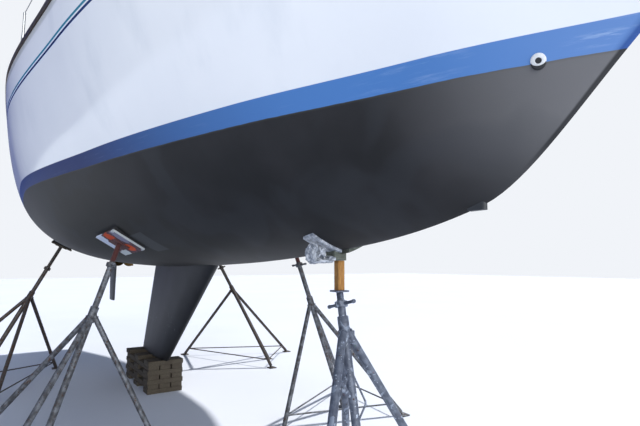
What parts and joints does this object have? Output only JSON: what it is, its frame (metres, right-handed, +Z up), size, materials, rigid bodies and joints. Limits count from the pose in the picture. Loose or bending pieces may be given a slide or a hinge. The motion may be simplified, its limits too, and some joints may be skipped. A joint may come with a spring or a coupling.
{
  "type": "sailing yacht on a timber stack and stands",
  "caption": "Cruising sloop hauled out ashore: white hull with blue boot stripe, fin keel on a timber stack, steel stands, full rig with furled genoa and covered mainsail.",
  "frame": {"origin": "on the ground, under the middle of the yacht's length, on its centreline", "axes": "+X to the bow, +Y to port, +Z up"},
  "size_m": [12.12, 5.924, 18.3175],
  "materials": {
    "hull": "glossy white gelcoat with blue boot stripe over matt grey-black antifouling",
    "deck_moulding": "off-white moulded gelcoat with moulded anti-slip",
    "antifouling": "matt dark grey antifouling paint",
    "timber": "weathered rough-sawn boards",
    "board": "plywood pad wrapped in pale plastic",
    "pad": "painted plywood pad with orange marks",
    "steel": "worn painted and galvanised steel tube with rust",
    "glass": "dark tinted acrylic",
    "toe_rail": "dull bronze-anodised slotted section",
    "stainless": "polished stainless steel",
    "bronze": "dull cast bronze",
    "engine": "painted block",
    "joinery": "varnished wood",
    "spar": "satin anodised extrusion",
    "canvas": "blue woven acrylic canvas",
    "sailcloth": "white woven polyester sailcloth",
    "plastic": "white moulded skin fitting"
  },
  "bodies": {
    "hull_and_rig": {"hull": "hull", "keel": "antifouling", "keel_timber_stack": "timber", "pad_bow": "board", "pad_mid_starboard": "pad", "pad_mid_port": "pad", "pad_aft_starboard": "pad", "pad_aft_port": "pad", "stand_bow": "steel", "stand_mid_starboard": "steel", "stand_mid_port": "steel", "stand_aft_starboard": "steel", "stand_aft_port": "steel", "coachroof": "deck_moulding", "window_port": "glass", "window_starboard": "glass", "deck": "deck_moulding", "toe_rail_port": "toe_rail", "toe_rail_starboard": "toe_rail", "cockpit_tub": "deck_moulding", "steering_pedestal": "deck_moulding", "propeller_shaft": "stainless", "engine_block": "engine", "saloon_joinery": "joinery", "companionway_steps": "joinery", "saloon_bulkhead": "joinery", "washboard": "joinery", "mast": "spar", "forestay": "stainless", "furled_genoa": "sailcloth", "backstay": "stainless", "cap_shroud_port": "stainless", "cap_shroud_starboard": "stainless", "lower_shroud_forward_port": "stainless", "lower_shroud_forward_starboard": "stainless", "lower_shroud_aft_port": "stainless", "lower_shroud_aft_starboard": "stainless", "pulpit": "stainless", "pushpit": "stainless", "guard_rail_port": "stainless", "guard_rail_starboard": "stainless", "bow_roller": "stainless", "winch_port": "stainless", "winch_starboard": "stainless", "sprayhood": "canvas", "bow_outlet": "plastic", "sounder_fairing": "antifouling"},
    "rudder": {"rudder": "antifouling"},
    "steering_wheel": {"steering_wheel": "stainless"},
    "propeller": {"propeller": "bronze"},
    "boom": {"boom": "spar", "mainsail_cover": "canvas"},
    "fore_hatch": {"fore_hatch_lid": "glass"},
    "saloon_hatch": {"saloon_hatch_lid": "glass"},
    "sliding_hatch": {"sliding_hatch": "deck_moulding"},
    "locker_lid_port": {"locker_lid_port": "deck_moulding"},
    "locker_lid_starboard": {"locker_lid_starboard": "deck_moulding"},
    "anchor_locker_lid": {"anchor_locker_lid": "deck_moulding"},
    "swim_ladder": {"swim_ladder": "stainless"}
  },
  "joints": [
    {"name": "rudder_turn", "type": "hinge", "parent": "hull_and_rig", "child": "rudder", "pos_m": [-4.95, 0, 2], "axis": [0, 0, 1], "range_deg": [-35, 35]},
    {"name": "steering_wheel_turn", "type": "hinge", "parent": "hull_and_rig", "child": "steering_wheel", "pos_m": [-3.745, 0, 4.1482], "axis": [1, 0, 0], "range_deg": [-420, 420]},
    {"name": "propeller_spin", "type": "hinge", "parent": "hull_and_rig", "child": "propeller", "pos_m": [-4.08, 0, 1.8227], "axis": [0.9848, 0, 0.1736], "continuous": true},
    {"name": "boom_swing", "type": "hinge", "parent": "hull_and_rig", "child": "boom", "pos_m": [1.024, 0, 5.3255], "axis": [0, 0, 1], "range_deg": [-65, 65]},
    {"name": "fore_hatch_open", "type": "hinge", "parent": "hull_and_rig", "child": "fore_hatch", "pos_m": [3.342, 0, 4.115], "axis": [0, 1, 0], "range_deg": [0, 95]},
    {"name": "saloon_hatch_open", "type": "hinge", "parent": "hull_and_rig", "child": "saloon_hatch", "pos_m": [0.012, 0, 4.419], "axis": [0, 1, 0], "range_deg": [0, 95]},
    {"name": "sliding_hatch_slide", "type": "slide", "parent": "hull_and_rig", "child": "sliding_hatch", "axis": [1, 0, 0], "range_m": [0, 0.56]},
    {"name": "locker_lid_port_open", "type": "hinge", "parent": "hull_and_rig", "child": "locker_lid_port", "pos_m": [-2.85, 0.9, 3.6962], "axis": [-1, 0, 0], "range_deg": [0, 75]},
    {"name": "locker_lid_starboard_open", "type": "hinge", "parent": "hull_and_rig", "child": "locker_lid_starboard", "pos_m": [-2.85, -0.9, 3.6962], "axis": [1, 0, 0], "range_deg": [0, 75]},
    {"name": "anchor_locker_lid_open", "type": "hinge", "parent": "hull_and_rig", "child": "anchor_locker_lid", "pos_m": [4.395, 0, 4.1555], "axis": [0, -1, 0], "range_deg": [0, 85]},
    {"name": "swim_ladder_fold", "type": "hinge", "parent": "hull_and_rig", "child": "swim_ladder", "pos_m": [-5.9972, 0, 2.96], "axis": [0, -1, 0], "range_deg": [0, 170]}
  ],
  "couplings": [
    {"joint": "steering_wheel_turn", "follows": "rudder_turn", "ratio": 12}
  ]
}
